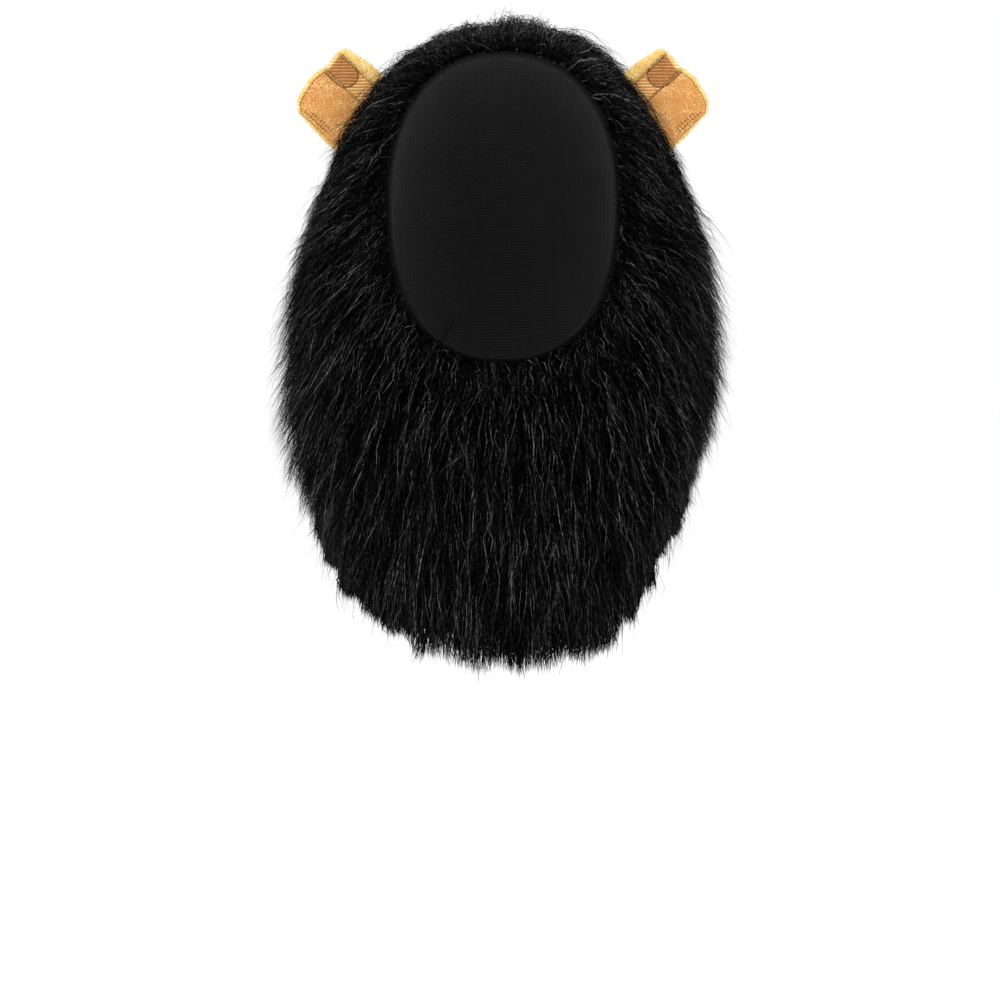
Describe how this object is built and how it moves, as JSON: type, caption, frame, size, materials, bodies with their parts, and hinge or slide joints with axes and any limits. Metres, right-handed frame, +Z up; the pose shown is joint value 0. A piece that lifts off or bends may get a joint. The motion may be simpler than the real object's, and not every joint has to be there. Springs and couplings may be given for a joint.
{
  "type": "pet lion mane wig",
  "caption": "Pull-over hood wig for a large dog: long black fur with a face opening, a neck opening, gathered elastic hems and cupped plush lion ears.",
  "frame": {"origin": "the inside of the hood's crown, where the wig rests on the wearer's head", "axes": "+Z up, the face opening looks along -Y, +X to the right as seen from the front"},
  "size_m": [0.332, 0.3074, 0.4591],
  "materials": {
    "knit_backing": "matt black warp-knit polyester cloth",
    "elastic_hem": "matt black gathered elastic hem",
    "mane_fur": "long glossy black modacrylic faux fur",
    "yellow_plush": "short pale yellow plush",
    "tan_plush": "short light tan plush",
    "brown_plush": "ribbed warm brown plush"
  },
  "bodies": {
    "root": {"hood_backing": "knit_backing", "face_hem": "elastic_hem", "neck_hem": "elastic_hem", "mane_fur": "mane_fur", "left_ear_back": "yellow_plush", "right_ear_back": "yellow_plush", "left_ear_lining": "tan_plush", "right_ear_lining": "tan_plush", "left_ear_inner": "brown_plush", "right_ear_inner": "brown_plush"}
  },
  "joints": []
}
